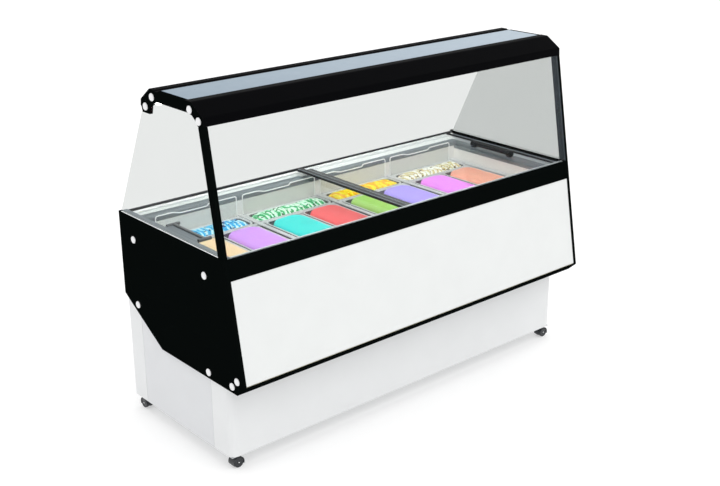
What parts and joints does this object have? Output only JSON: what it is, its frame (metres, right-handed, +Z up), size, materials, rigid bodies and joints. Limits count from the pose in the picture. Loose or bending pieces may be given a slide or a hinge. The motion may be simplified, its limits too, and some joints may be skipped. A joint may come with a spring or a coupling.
{
  "type": "ice cream display chest freezer",
  "caption": "Serve-over chest freezer for ice cream: sliding glass lids over a well of pans, leaning front glass, canopy and swivel castors.",
  "frame": {"origin": "middle of the footprint at floor level", "axes": "+Z up, +X to the right seen by a customer in front, -Y towards the customer, +Y towards the server"},
  "size_m": [1.67, 0.731, 1.263],
  "materials": {
    "black_coated": "satin black powder coat",
    "white_coated": "smooth white powder coat",
    "white_gloss": "gloss white enamel",
    "steel": "brushed stainless",
    "dark_rail": "dark grey extruded profile",
    "glass": "clear toughened",
    "top_strip": "blue-grey tinted sheet",
    "guard_clear": "clear acrylic, polished edges",
    "cap_white": "gloss white",
    "lamp_white": "opal white",
    "liner": "light beige coated",
    "foam": "foamed in place",
    "copper": "drawn copper tube",
    "pan_steel": "satin stainless",
    "dark_plastic": "fine-grained moulded",
    "handle_plastic": "satin moulded",
    "castor_grey": "moulded nylon",
    "compressor_black": "gloss black enamel",
    "aluminium": "mill finish",
    "galvanised": "galvanised",
    "switch_green": "gloss",
    "drain_white": "plain tube",
    "ice_peach": "frozen, slightly moist",
    "ice_purple": "frozen, slightly moist",
    "ice_turquoise": "frozen, slightly moist",
    "ice_red": "frozen, slightly moist",
    "ice_green": "frozen, slightly moist",
    "ice_violet": "frozen, slightly moist",
    "ice_magenta": "frozen, slightly moist",
    "ice_salmon": "frozen, slightly moist",
    "ice_blue": "frozen, slightly moist",
    "ice_mint": "frozen, slightly moist",
    "ice_yellow": "frozen, slightly moist",
    "ice_cream": "frozen, slightly moist"
  },
  "bodies": {
    "root": {"cabinet_front_wrap": "white_coated", "cabinet_side_left": "white_coated", "cabinet_side_right": "white_coated", "cabinet_back": "white_coated", "cabinet_floor": "galvanised", "foam_body": "foam", "inner_liner": "liner", "evaporator_coil": "copper", "top_collar": "steel", "rail_front": "steel", "rail_rear": "steel", "side_panel_left": "black_coated", "side_panel_right": "black_coated", "front_band": "black_coated", "front_panel": "white_gloss", "bottom_trim": "black_coated", "post_left": "black_coated", "post_right": "black_coated", "front_glass": "glass", "side_glass_left": "glass", "side_glass_right": "glass", "canopy_end_left": "black_coated", "canopy_end_right": "black_coated", "canopy_hood": "black_coated", "canopy_rear_rail": "black_coated", "canopy_top_glass": "top_strip", "led_lamp": "lamp_white", "screw_caps": "cap_white", "pan_rails": "pan_steel", "pan_dividers": "pan_steel", "pan_guards": "guard_clear", "front_pans": "pan_steel", "rear_pans": "pan_steel", "front_ice_cream": "ice_peach", "rear_ice_cream": "ice_blue", "compressor": "compressor_black", "condenser": "aluminium", "fan_shroud": "galvanised", "vent_grille": "dark_plastic", "control_box": "dark_plastic", "cable_inlet": "dark_plastic", "drain_pipe": "drain_white", "castor_plates": "galvanised"},
    "lid_left": {"lid_left_frame": "dark_rail", "lid_left_glass": "glass", "lid_left_handle": "handle_plastic"},
    "lid_right": {"lid_right_frame": "dark_rail", "lid_right_glass": "glass", "lid_right_handle": "handle_plastic"},
    "fan": {"fan_rotor": "dark_plastic"},
    "knob": {"thermostat_knob": "dark_plastic"},
    "switch": {"power_switch": "switch_green"},
    "swivel_front_left": {"castor_fork_front_left": "castor_grey"},
    "wheels_front_left": {"castor_wheels_front_left": "castor_grey"},
    "swivel_front_right": {"castor_fork_front_right": "castor_grey"},
    "wheels_front_right": {"castor_wheels_front_right": "castor_grey"},
    "swivel_back_left": {"castor_fork_back_left": "castor_grey"},
    "wheels_back_left": {"castor_wheels_back_left": "castor_grey"},
    "swivel_back_right": {"castor_fork_back_right": "castor_grey"},
    "wheels_back_right": {"castor_wheels_back_right": "castor_grey"}
  },
  "joints": [
    {"name": "lid_left_slide", "type": "slide", "parent": "root", "child": "lid_left", "axis": [1, 0, 0], "range_m": [0, 0.67]},
    {"name": "lid_right_slide", "type": "slide", "parent": "root", "child": "lid_right", "axis": [1, 0, 0], "range_m": [-0.67, 0]},
    {"name": "fan_spin", "type": "hinge", "parent": "root", "child": "fan", "pos_m": [0.575, 0.27, 0.21], "axis": [0, 1, 0], "continuous": true},
    {"name": "thermostat_turn", "type": "hinge", "parent": "root", "child": "knob", "pos_m": [-0.515, 0.3525, 0.25], "axis": [0, 1, 0], "range_deg": [0, 270]},
    {"name": "switch_rock", "type": "hinge", "parent": "root", "child": "switch", "pos_m": [-0.605, 0.3485, 0.25], "axis": [1, 0, 0], "range_deg": [-12, 0]},
    {"name": "swivel_front_left", "type": "hinge", "parent": "root", "child": "swivel_front_left", "pos_m": [-0.787, -0.228, 0.05], "axis": [0, 0, 1], "continuous": true},
    {"name": "roll_front_left", "type": "hinge", "parent": "swivel_front_left", "child": "wheels_front_left", "pos_m": [-0.779, -0.228, 0.019], "axis": [0, 1, 0], "continuous": true},
    {"name": "swivel_front_right", "type": "hinge", "parent": "root", "child": "swivel_front_right", "pos_m": [0.787, -0.228, 0.05], "axis": [0, 0, 1], "continuous": true},
    {"name": "roll_front_right", "type": "hinge", "parent": "swivel_front_right", "child": "wheels_front_right", "pos_m": [0.795, -0.228, 0.019], "axis": [0, 1, 0], "continuous": true},
    {"name": "swivel_back_left", "type": "hinge", "parent": "root", "child": "swivel_back_left", "pos_m": [-0.787, 0.33, 0.05], "axis": [0, 0, 1], "continuous": true},
    {"name": "roll_back_left", "type": "hinge", "parent": "swivel_back_left", "child": "wheels_back_left", "pos_m": [-0.787, 0.338, 0.019], "axis": [1, 0, 0], "continuous": true},
    {"name": "swivel_back_right", "type": "hinge", "parent": "root", "child": "swivel_back_right", "pos_m": [0.787, 0.33, 0.05], "axis": [0, 0, 1], "continuous": true},
    {"name": "roll_back_right", "type": "hinge", "parent": "swivel_back_right", "child": "wheels_back_right", "pos_m": [0.787, 0.338, 0.019], "axis": [1, 0, 0], "continuous": true}
  ]
}
